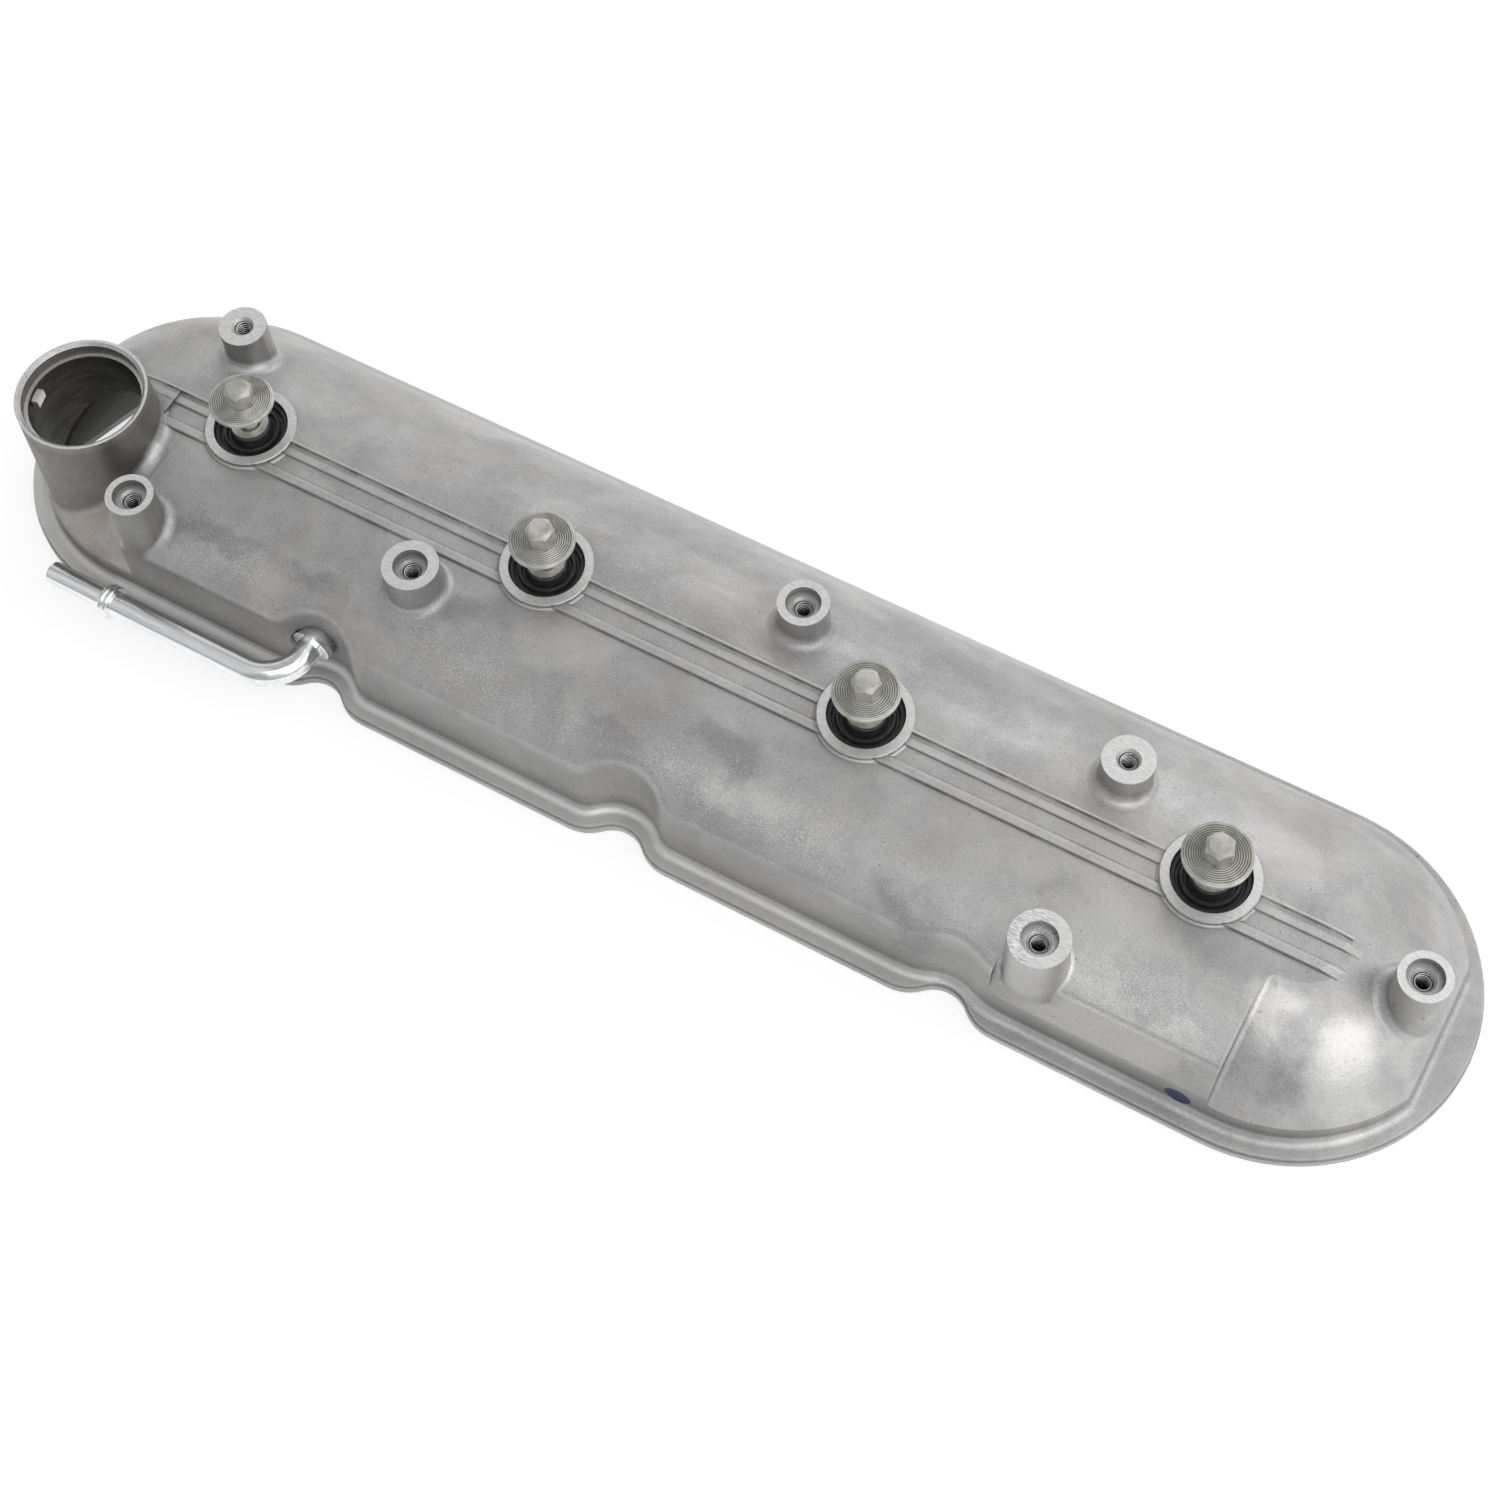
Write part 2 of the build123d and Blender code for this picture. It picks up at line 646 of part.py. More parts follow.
def grommet(x):
    """Rubber grommet that carries the sleeve on the ledge of a bolt ring."""
    bore = sleeve_radius + sleeve_clearance
    outer = ring_bore_radius - grommet_clearance
    low = grommet_top - grommet_groove_depth
    neck = ring_ledge_bore_radius - grommet_clearance
    hub_top = sleeve_top - sleeve_collar_thickness
    rib = (outer - grommet_hub_radius) / 7
    with BuildPart() as ring:
        with BuildSketch(Plane.XZ):
            with BuildLine():
                Polyline(
                    (bore, grommet_bottom),
                    (bore, hub_top),
                    (grommet_hub_radius - rib, hub_top),
                    (grommet_hub_radius, low),
                    (outer - 6 * rib, low),
                    (outer - 5.4 * rib, grommet_top),
                    (outer - 4.2 * rib, grommet_top),
                    (outer - 3.6 * rib, low),
                    (outer - 2.6 * rib, low),
                    (outer - 2 * rib, grommet_top),
                    (outer - rib / 2, grommet_top),
                    (outer, grommet_top - rib / 2),
                    (outer, ring_ledge_height),
                    (neck, ring_ledge_height),
                    (neck, post_bottom),
                    (grommet_bead_radius, post_bottom),
                    (neck, grommet_bottom),
                    close=True,
                )
            make_face()
        revolve(axis=Axis.Z)
    return Pos(x, 0, 0) * ring.part


def bolt_sleeve(x):
    """Steel sleeve with a collar; the bolt flange lands on it when the bolt is tight."""
    with BuildPart() as sleeve:
        with Locations((x, 0, sleeve_bottom)):
            Cylinder(sleeve_radius, sleeve_top - sleeve_bottom, align=UP)
        with Locations((x, 0, sleeve_top)):
            Cylinder(sleeve_collar_radius, sleeve_collar_thickness, align=DOWN)
            Cylinder(sleeve_bore_radius, sleeve_top - sleeve_bottom, align=DOWN, mode=Mode.SUBTRACT)
    return sleeve.part


def cover_bolt(x, turn):
    """Flanged hex bolt with concentric ridges on its flange, standing up out of its sleeve."""
    corner = bolt_hex_across / sqrt(3)
    hex_top = bolt_flange_top + bolt_hex_height
    ridge_start = corner + ridge_margin
    ridge_pitch = (bolt_flange_radius - 0.6 - ridge_start) / ridge_count
    ridges = []
    for i in range(ridge_count):
        ridges.append((ridge_start + i * ridge_pitch, bolt_flange_top - ridge_height))
        ridges.append((ridge_start + (i + 0.5) * ridge_pitch, bolt_flange_top))
    tip = bolt_tip_clearance
    pilot_top = tip + bolt_pilot_length
    thread_top = pilot_top + bolt_thread_length
    with BuildPart() as bolt:
        with BuildSketch(Plane.XY.offset(bolt_flange_top - ridge_height)):
            RegularPolygon(corner, 6, rotation=turn)
        extrude(amount=bolt_hex_height + ridge_height)
        with BuildSketch(Plane.XZ):
            with BuildLine():
                Polyline(
                    (0, 0),
                    (corner, 0),
                    (corner, hex_top - bolt_hex_chamfer),
                    (bolt_hex_face_radius, hex_top),
                    (0, hex_top),
                    close=True,
                )
            make_face()
        revolve(axis=Axis.Z, mode=Mode.INTERSECT)
        with BuildSketch(Plane.XZ):
            with BuildLine():
                Polyline(
                    (0, tip),
                    (bolt_pilot_radius - 0.5, tip),
                    (bolt_pilot_radius, tip + 0.5),
                    (bolt_pilot_radius, pilot_top),
                    (bolt_thread_radius, pilot_top + 0.7),
                    (bolt_thread_radius, thread_top),
                    (bolt_waist_radius, thread_top + 0.3),
                    (bolt_waist_radius, bolt_seat),
                    (bolt_flange_radius - 0.3, bolt_seat),
                    (bolt_flange_radius, bolt_seat + 0.3),
                    (bolt_flange_radius, bolt_flange_top - 0.6),
                    (bolt_flange_radius - 0.3, bolt_flange_top - ridge_height),
                    *reversed(ridges),
                    (0, bolt_flange_top - ridge_height),
                    close=True,
                )
            make_face()
        revolve(axis=Axis.Z)
    return Pos(x, 0, 0) * bolt.part


pieces = {
    "cover_casting": cover_casting.part,
    "cover_gasket": cover_gasket.part,
    "vent_tube": vent_tube.part,
    "vent_baffle": vent_baffle.part,
}
for number, (x, y) in enumerate(baffle_post_places, start=1):
    pieces[f"baffle_screw_{number}"] = baffle_screw(x, y)
for number, x in enumerate(bolt_line_x, start=1):
    pieces[f"grommet_{number}"] = grommet(x)
    pieces[f"bolt_sleeve_{number}"] = bolt_sleeve(x)
    pieces[f"cover_bolt_{number}"] = cover_bolt(x, bolt_turns[(number - 1) % len(bolt_turns)])

for name, piece in pieces.items():
    piece.label = name
    export_step(piece, f"parts/{name}.step")
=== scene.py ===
"""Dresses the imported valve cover: materials, floor, light and the photograph's camera."""

import math

import bpy
from mathutils import Matrix, Vector


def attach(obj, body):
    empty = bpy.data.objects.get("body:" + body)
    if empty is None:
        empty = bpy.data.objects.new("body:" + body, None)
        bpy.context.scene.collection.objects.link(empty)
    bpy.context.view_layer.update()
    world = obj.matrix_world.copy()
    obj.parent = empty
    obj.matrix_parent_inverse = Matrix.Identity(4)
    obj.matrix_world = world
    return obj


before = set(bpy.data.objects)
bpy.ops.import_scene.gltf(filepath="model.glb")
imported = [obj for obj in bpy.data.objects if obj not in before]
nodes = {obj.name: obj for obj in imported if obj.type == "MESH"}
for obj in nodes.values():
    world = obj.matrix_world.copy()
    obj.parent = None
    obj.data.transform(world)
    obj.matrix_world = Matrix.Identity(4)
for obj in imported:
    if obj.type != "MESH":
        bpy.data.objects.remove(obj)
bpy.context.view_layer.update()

MM = 0.001
# Levels, radii and places on the casting and the bolts, in mm, as the CAD has them
BOSS_TOP, COUNTERBORE_FLOOR = 52.8, 50.2
NECK_TOP, NECK_SEAT, RING_TOP = 57.8, 53.3, 42.8
NECK_X, NECK_Y = -213.8, -22.5
LUG_PLACE = (-230.4, -27.0, 50.3)
BOLT_PITCH = 111.76
FLANGE_RADIUS = 9.8
RIDGE_START, RIDGE_PITCH = 4.82, 0.704
# Radii inside which the neck's bore, its lug and its seat get their own colours: painted shade in the bore, a
# painted highlight on the lug, a pale ledge and painted shade on the wall below the seat
IN_BORE, IN_LUG, IN_SEAT = 18.6, 18.05, 19.9
ALLOY_METAL = 0.85

# Threaded holes of the bosses: x, y and the level where the thread's hole starts
BOSS_HOLES = [
    (-186.5, 26.3, BOSS_TOP),
    (-180.4, -44.4, COUNTERBORE_FLOOR),
    (-88.4, -24.8, COUNTERBORE_FLOOR),
    (24.0, 19.8, COUNTERBORE_FLOOR),
    (132.4, 17.5, BOSS_TOP),
    (134.6, -45.2, COUNTERBORE_FLOOR),
    (232.5, -5.2, COUNTERBORE_FLOOR),
]
# Cast nubs on the strip: place, radius and height
NUBS = [
    (192.1, -5.8, 40.85, 0.45, 0.35),
    (195.1, -5.7, 40.85, 0.45, 0.35),
    (198.2, -5.8, 40.85, 0.45, 0.35),
]
# Patches on the casting, the dark ones stains, the light ones on the dome and the near panel painted highlights: x,
# y, half sizes, turn in degrees, tone (dark below zero), lowest z
STAINS_AND_PAINTED_HIGHLIGHTS = [
    (-71, -25, 16, 7, 20, -0.55, 34),
    (-40, -22, 22, 9, 10, 0.40, 34),
    (26, -30, 17, 9, -10, -0.75, 30),
    (40, -36, 14, 7, 0, 0.45, 28),
    (-6, -38, 14, 4, -15, -0.45, 28),
    (13, 24, 12, 6, 30, -0.30, 34),
    (131, -22, 14, 5, 0, -0.40, 30),
    (93, -47, 14, 6, -20, -0.60, 20),
    (151, -25, 26, 10, 0, 0.30, 30),
    (-155, -38, 20, 4, 0, -0.60, 30),
    (-120, -39, 18, 4, 0, -0.55, 28),
    (-124, 26, 22, 10, 0, 0.05, 30),
    (-137, -9, 12, 4, 0, 0.45, 38),
    (-221, -46, 10, 9, 0, -0.90, 4),
    (-206, -46, 10, 12, 0, -0.50, 4),
    (199, -27, 8, 9, 30, 0.95, 10),
    (226, -31, 11, 14, 30, 0.80, 6),
    (60, -16, 30, 6, 0, 0.25, 34),
    (163, -48, 30, 7, 0, 0.95, 16),
    (30, -44, 13, 5, 0, 0.55, 22),
    (-15, 24, 40, 10, 0, 0.25, 38),
    (213, -38, 7, 5, 25, -0.45, 6),
    (238, -14, 6, 10, 0, 0.35, 6),
]
# Painted shade lines (tone below zero) and painted highlight lines along the steps beside the bolts: from and to in
# y, tone, lowest z
STEP_LINES = [
    (1.4, 1.9, 0.50, 41.4),
    (0.5, 1.2, -0.85, 41.4),
    (-0.3, 0.4, -0.35, 41.4),
    (-2.6, -0.8, 0.22, 40.5),
    (-3.4, -3.0, -0.50, 40.5),
    (-8.4, -8.0, -0.40, 40.5),
    (-9.6, -8.9, 0.35, 40.5),
    (-11.2, -9.7, 0.15, 40.5),
    (-12.1, -11.6, -0.65, 40.2),
]
PATCH_STRENGTH = 0.42
LINE_BLUR = 0.15

# Soft boxes in rings around the cover: compass degrees, degrees above the floor, watts, width in metres
SOFT_BOXES = [
    (0, 32, 14.2, 2.6),
    (90, 32, 6.6, 1.5),
    (135, 32, 1.8, 1.5),
    (225, 32, 1.2, 1.5),
    (315, 32, 1.4, 1.5),
    (45, 62, 2.9, 1.5),
    (135, 62, 0.4, 1.5),
    (225, 62, 1.3, 1.5),
    (315, 62, 6.8, 1.5),
]
BOX_REACH, BOX_HEIGHT, BOX_TARGET = 2.0, 1.2, (0, 0, 0.02)
WORLD_STRENGTH = 0.4
FLOOR_HALF, FLOOR_GREY, FLOOR_WHITE, FLOOR_GLOW = 6.0, 0.8, 0.4, 0.72

# Camera, solved from the bolt rings, the boss tops and the lip in the photograph
CAMERA_PLACE = (0.217922, -0.311112, 0.680834)
CAMERA_RIGHT = Vector((0.87145, 0.4891, -0.03689))
CAMERA_DOWN = Vector((0.4172, -0.77868, -0.46862))
CAMERA_AHEAD = Vector((-0.25793, 0.39299, -0.88263))
FOCAL_PIXELS, PHOTO_PIXELS, SENSOR = 2444.86, 1500, 36.0


class Graph:
    """A material's node tree, with short calls for the nodes used here."""

    def __init__(self, name):
        self.material = bpy.data.materials.new(name)
        self.material.use_nodes = True
        self.tree = self.material.node_tree
        self.tree.nodes.clear()
        self.output = self.tree.nodes.new("ShaderNodeOutputMaterial")
        coords = self.tree.nodes.new("ShaderNodeTexCoord")
        self.point = coords.outputs["Object"]
        self.normal = coords.outputs["Normal"]

    def plug(self, socket, value):
        if isinstance(value, bpy.types.NodeSocket):
            self.tree.links.new(value, socket)
        elif isinstance(value, (tuple, list)) and len(value) == 3 and socket.type == "RGBA":
            socket.default_value = (*value, 1.0)
        else:
            socket.default_value = value

    def shader(self, **inputs):
        node = self.tree.nodes.new("ShaderNodeBsdfPrincipled")
        for name, value in inputs.items():
            self.plug(node.inputs[name.replace("_", " ")], value)
        self.tree.links.new(node.outputs[0], self.output.inputs[0])

    def math(self, operation, a, b=0.0, c=0.0, clamp=False):
        node = self.tree.nodes.new("ShaderNodeMath")
        node.operation = operation
        node.use_clamp = clamp
        for socket, value in zip(node.inputs, (a, b, c)):
            self.plug(socket, value)
        return node.outputs[0]

    def times(self, product, *factors):
        for factor in factors:
            product = self.math("MULTIPLY", product, factor)
        return product

    def add_scaled(self, value, factor, total):
        """total + value * factor"""
        return self.math("MULTIPLY_ADD", value, factor, total)

    def vector(self, operation, a, b=(0.0, 0.0, 0.0), scale=1.0):
        node = self.tree.nodes.new("ShaderNodeVectorMath")
        node.operation = operation
        self.plug(node.inputs[0], a)
        self.plug(node.inputs[1], b)
        if operation == "SCALE":
            self.plug(node.inputs[3], scale)
        return node.outputs["Value" if operation == "LENGTH" else 0]

    def split(self, value):
        node = self.tree.nodes.new("ShaderNodeSeparateXYZ")
        self.plug(node.inputs[0], value)
        return node.outputs

    def scaled(self, scale, place=(0.0, 0.0, 0.0), turn=0.0):
        node = self.tree.nodes.new("ShaderNodeMapping")
        self.plug(node.inputs["Vector"], self.point)
        node.inputs["Location"].default_value = place
        node.inputs["Rotation"].default_value = (0.0, 0.0, turn)
        node.inputs["Scale"].default_value = scale
        return node.outputs[0]

    def strayed(self, noise, reach, middle=0.5):
        """The point moved by a coloured noise, reach in metres."""
        shift = self.vector("SUBTRACT", noise, (middle, middle, middle))
        return self.vector("ADD", self.point, self.vector("SCALE", shift, scale=reach))

    def noise(self, scale, detail=2.0, roughness=0.5, distortion=0.0, vector=None, colour=False):
        node = self.tree.nodes.new("ShaderNodeTexNoise")
        self.plug(node.inputs["Vector"], self.point if vector is None else vector)
        node.inputs["Scale"].default_value = scale
        node.inputs["Detail"].default_value = detail
        node.inputs["Roughness"].default_value = roughness
        node.inputs["Distortion"].default_value = distortion
        return node.outputs[1 if colour else 0]

    def spots(self, scale, vector):
        node = self.tree.nodes.new("ShaderNodeTexVoronoi")
        self.plug(node.inputs["Vector"], vector)
        node.inputs["Scale"].default_value = scale
        return node.outputs["Distance"]

    def reach(self, point, centre, halves, degrees=0.0):
        """Distance from a ball's middle, 1 on its rim, stretched to its half sizes in mm."""
        node = self.tree.nodes.new("ShaderNodeMapping")
        node.vector_type = "TEXTURE"
        self.plug(node.inputs["Vector"], point)
        node.inputs["Location"].default_value = [v * MM for v in centre]
        node.inputs["Rotation"].default_value = (0, 0, math.radians(degrees))
        node.inputs["Scale"].default_value = [v * MM for v in halves]
        return self.vector("LENGTH", node.outputs[0])

    def oval(self, point, x, y, half_x, half_y, degrees=0.0):
        """Distance from an upright oval's middle, 1 on its rim."""
        return self.reach(point, (x, y, 0), (half_x, half_y, 1e6), degrees)

    def within(self, x, y, radius, edge=0.98):
        """1 inside an upright round column, 0 outside."""
        return self.rise(self.oval(self.point, x, y, radius, radius), 1.0, edge)

    def rise(self, value, low, high, start=0.0, end=1.0):
        node = self.tree.nodes.new("ShaderNodeMapRange")
        node.interpolation_type = "SMOOTHSTEP"
        for socket, number in zip(node.inputs, (value, low, high, start, end)):
            self.plug(socket, number)
        return node.outputs[0]

    def rise_mm(self, value, low, high, start=0.0, end=1.0):
        return self.rise(value, low * MM, high * MM, start, end)

    def level(self, z, height, half=0.15):
        """1 within half of a height, in mm."""
        return self.math("COMPARE", z, height * MM, half * MM)

    def blend(self, factor, a, b):
        node = self.tree.nodes.new("ShaderNodeMix")
        node.data_type = "RGBA"
        self.plug(node.inputs["Factor"], factor)
        self.plug(node.inputs[6], a)
        self.plug(node.inputs[7], b)
        return node.outputs[2]

    def openness(self, distance, inside=False):
        """How open the surface is around a point: low in corners, or with inside on edges."""
        node = self.tree.nodes.new("ShaderNodeAmbientOcclusion")
        node.samples = 1
        node.inside = inside
        node.only_local = True
        node.inputs["Distance"].default_value = distance * MM
        return node.outputs["AO"]

    def bump(self, height, distance, strength=1.0, normal=None):
        """Bump of a height in mm, over another bump's normal if one is given."""
        node = self.tree.nodes.new("ShaderNodeBump")
        node.inputs["Strength"].default_value = strength
        node.inputs["Distance"].default_value = distance * MM
        self.plug(node.inputs["Height"], height)
        if normal is not None:
            self.plug(node.inputs["Normal"], normal)
        return node.outputs[0]


def cast_skin(g, moved, y, z):
    """Colour and roughness of the cast skin with its stains, painted highlights, grain, pits and coarse patches."""
    patches = g.noise(11, 3, 0.6, 0.6)
    blotches = g.noise(60, 4, 0.6, 0.5)
    smears = g.noise(1.0, 4, 0.65, 0.6, g.scaled((26, 60, 60), turn=0.12))
    grain = g.noise(900, 3, 0.65)
    fine = g.noise(2600, 2, 0.6)
    tone = g.add_scaled(patches, 0.40, g.times(blotches, 0.35))
    tone = g.add_scaled(smears, 0.25, tone)
    tone = g.add_scaled(g.math("SUBTRACT", tone, 0.5), 1.5, 0.5)
    # Stains, and light patches that are painted highlights
    for x, patch_y, half_x, half_y, degrees, amount, foot in STAINS_AND_PAINTED_HIGHLIGHTS:
        near = g.rise(g.oval(moved, x, patch_y, half_x, half_y, degrees), 1.15, 0.25)
        strength = g.times(near, g.rise_mm(z, foot - 3, foot))
        tone = g.add_scaled(strength, amount * PATCH_STRENGTH, tone)
    colour = g.blend(g.rise(tone, 0.12, 0.92), (0.335, 0.333, 0.338), (0.66, 0.655, 0.65))
    colour = g.blend(g.rise(grain, 0.58, 0.74, 0, 0.40), colour, (0.20, 0.19, 0.19))
    colour = g.blend(g.rise(fine, 0.55, 0.72, 0, 0.50), colour, (0.90, 0.90, 0.89))
    colour = g.blend(g.rise(fine, 0.42, 0.28, 0, 0.35), colour, (0.22, 0.22, 0.22))

    # Warm oil film, most of all under the neck
    film = g.noise(24, 3, 0.6, 0.4, g.scaled((1, 1, 1), (3.1, 0.4, 1.7)))
    colour = g.blend(g.rise(film, 0.5, 0.72, 0, 0.30), colour, (0.50, 0.455, 0.42))
    drip = g.times(g.rise(g.oval(moved, -205, -45, 13, 15, 20), 1.1, 0.3), g.rise_mm(z, 36, 26))
    colour = g.blend(g.times(drip, 0.55), colour, (0.40, 0.335, 0.29))

    # Pits, with a ragged rim
    ragged = g.strayed(g.noise(1400, colour=True), 0.0009, middle=0.0)
    pits = g.times(g.rise(g.spots(300, ragged), 0.10, 0.05), g.rise(g.noise(90, 1), 0.58, 0.64))
    colour = g.blend(g.times(pits, 0.5), colour, (0.10, 0.095, 0.09))
    rough = g.add_scaled(grain, 0.12, g.rise(tone, 0.2, 0.9, 0.46, 0.34))

    # Coarse cast patches along the near edge of the crown
    coarse = g.times(g.rise_mm(y, -24, -38), g.rise(g.noise(28), 0.42, 0.6), g.rise_mm(z, 28, 36))
    specks = g.noise(2300, 2, 0.6)
    colour = g.blend(g.times(coarse, g.rise(specks, 0.54, 0.68, 0, 0.42)), colour, (0.95, 0.95, 0.94))
    colour = g.blend(g.times(coarse, g.rise(specks, 0.46, 0.32, 0, 0.35)), colour, (0.14, 0.14, 0.14))

    height = g.math("ADD", g.times(grain, 0.6), g.times(fine, 0.4))
    skin = g.bump(blotches, 0.8, 0.35, g.bump(height, 0.16, 0.6))
    return colour, rough, g.bump(g.times(pits, -1.0), 0.25, 0.8, skin)


def painted_step_lines(g, colour, y, z):
    """Painted shade and painted highlights along the steps, but not on the bolt rings."""
    line_breaks = g.rise(g.noise(130, 3, 0.6), 0.25, 0.7, 0.45, 1.0)
    below_rings = g.rise_mm(z, RING_TOP - 0.05, RING_TOP - 0.15)
    for start, end, amount, lowest in STEP_LINES:
        line = g.times(
            g.rise_mm(y, start - LINE_BLUR, start + LINE_BLUR),
            g.rise_mm(y, end + LINE_BLUR, end - LINE_BLUR),
            line_breaks, below_rings, g.rise_mm(z, lowest - 0.2, lowest),
        )
        # Dark lines are painted shade, light lines painted highlights
        shade = (0.06, 0.057, 0.054) if amount < 0 else (0.88, 0.88, 0.87)
        colour = g.blend(g.times(line, abs(amount)), colour, shade)
    return colour


def shaded_neck_and_walls(g, colour, moved, x, y, z, up):
    """Walls and the neck's sides get painted shade, darker still towards the neck end; the bore gets painted shade,
    the lug a painted highlight, and the seat a pale ledge with painted shade on the wall below it.
    """
    # Painted shade on the walls, by how steeply they face
    side = g.rise(up, 0.45, 0.05)
    colour = g.blend(g.times(side, 0.32), colour, (0.26, 0.255, 0.25))
    # Painted shade on the near wall
    near_wall = g.times(g.rise(up, 0.62, 0.35), g.rise_mm(z, 36, 30), g.rise_mm(z, 6, 9), g.rise_mm(y, -30, -40))
    colour = g.blend(g.times(near_wall, 0.36), colour, (0.18, 0.175, 0.17))
    # The walls painted darker still towards the neck end
    walls_darker_to_neck = g.times(side, g.rise_mm(x, -60, -215, 0, 0.55))
    colour = g.blend(walls_darker_to_neck, colour, (0.13, 0.125, 0.12))
    # The neck's sides painted darker below its top
    stem = g.times(g.rise(g.oval(moved, NECK_X, NECK_Y, 30, 30), 1.0, 0.85), side, g.rise_mm(z, 57.0, 54.0))
    colour = g.blend(g.times(stem, 0.42), colour, (0.12, 0.115, 0.11))

    # Painted shade in the bore
    below_seat = g.rise_mm(z, NECK_SEAT - 0.1, NECK_SEAT - 0.4)
    bore = g.times(g.within(NECK_X, NECK_Y, IN_BORE), below_seat, g.rise_mm(z, 2, 5))
    swirl = g.noise(1.0, 3, 0.6, 1.2, g.scaled((60, 60, 260)))
    bore_shade = g.blend(g.rise(swirl, 0.35, 0.68), (0.011, 0.010, 0.009), (0.044, 0.041, 0.037))
    colour = g.blend(g.times(bore, 0.93), colour, bore_shade)

    in_seat = g.within(NECK_X, NECK_Y, IN_SEAT)
    ledge = g.times(g.level(z, NECK_SEAT, 0.2), g.math("GREATER_THAN", up, 0.9), in_seat)
    colour = g.blend(g.times(ledge, 0.8), colour, (0.92, 0.92, 0.90))
    # Painted highlight on the lug
    lug = g.rise(g.reach(g.point, LUG_PLACE, (4.0, 4.0, 3.0)), 1.0, 0.95)
    lug = g.times(lug, g.within(NECK_X, NECK_Y, IN_LUG, 0.995))
    colour = g.blend(g.times(lug, 0.9), colour, (0.95, 0.94, 0.92))
    # Painted shade on the wall just below the seat
    seat = g.times(in_seat, side, g.rise_mm(z, NECK_SEAT - 0.3, NECK_SEAT + 0.1))
    return g.blend(g.times(seat, 0.6), colour, (0.10, 0.095, 0.085))


def cast_aluminium():
    g = Graph("cast aluminium")
    x, y, z = g.split(g.point)
    up = g.split(g.normal)[2]
    wander = g.noise(45, 4, 0.6, colour=True)
    moved = g.strayed(wander, 0.030)
    colour, rough, normal = cast_skin(g, moved, y, z)
    colour = painted_step_lines(g, colour, y, z)

    # Lip around the foot, its upward face painted lighter than the crown as a painted highlight
    lip = g.times(g.rise_mm(z, 7.5, 5.5), g.rise(up, 0.5, 0.8), g.rise_mm(x, 160, 60))
    colour = g.blend(g.times(lip, 0.70), colour, (0.84, 0.84, 0.83))

    # Dirt and painted shade in the corners, and painted highlights along the edges
    corner = g.rise(g.openness(1.6), 0.86, 0.35)
    colour = g.blend(g.times(corner, 0.62), colour, (0.07, 0.065, 0.06))
    edge = g.rise(g.openness(0.9, inside=True), 0.90, 0.55)
    colour = g.blend(g.times(edge, 0.55), colour, (0.88, 0.88, 0.87))
    colour = shaded_neck_and_walls(g, colour, moved, x, y, z, up)

    # Threaded holes of the bosses, with painted shade below their mouths
    for hole_x, hole_y, top in BOSS_HOLES:
        hole = g.times(g.within(hole_x, hole_y, 2.9, 0.97), g.rise_mm(z, top - 0.2, top - 1.0), g.rise_mm(z, 20, 22))
        colour = g.blend(g.times(hole, 0.96), colour, (0.02, 0.019, 0.018))

    # Machined faces of bosses, neck and bolt rings, one boss of them half bright
    boss_face = g.level(z, BOSS_TOP)
    faces = g.math("ADD", boss_face, g.level(z, NECK_TOP), clamp=True)
    faces = g.math("ADD", faces, g.level(z, RING_TOP), clamp=True)
    cut = g.times(faces, g.math("GREATER_THAN", up, 0.95))
    milling = g.noise(1.0, vector=g.scaled((420, 4200, 420), turn=0.9))
    cut_colour = g.blend(g.rise(milling, 0.35, 0.65), (0.71, 0.71, 0.71), (0.91, 0.91, 0.90))
    bright_half = g.times(g.rise(g.oval(g.point, 130.5, -45, 6.5, 12), 1.0, 0.9), boss_face)
    scored = g.blend(g.rise(milling, 0.45, 0.55), (0.62, 0.62, 0.62), (1.0, 1.0, 1.0))
    colour = g.blend(cut, colour, g.blend(bright_half, cut_colour, scored))
    rough = g.math("ADD", g.times(rough, g.math("SUBTRACT", 1.0, cut)), g.times(cut, 0.40))

    # Ink spot of an inspector on the near wall
    ink = g.rise(g.reach(g.strayed(wander, 0.004), (185.6, -51.5, 10.0), (4.2, 6.0, 3.4)), 1.05, 0.92)
    colour = g.blend(g.times(ink, 0.93), colour, (0.022, 0.028, 0.10))
    metal = g.math("SUBTRACT", ALLOY_METAL, g.times(ink, 0.5))
    g.shader(Base_Color=colour, Roughness=rough, Metallic=metal, Normal=normal)
    return g.material


def rubber():
    g = Graph("black rubber")
    grain = g.noise(1800)
    dust = g.rise(g.noise(300, 3, 0.6), 0.5, 0.75, 0, 0.5)
    colour = g.blend(dust, (0.020, 0.020, 0.021), (0.085, 0.085, 0.087))
    g.shader(Base_Color=colour, Roughness=g.rise(grain, 0.3, 0.7, 0.34, 0.5), Normal=g.bump(grain, 0.05, 0.4))
    return g.material


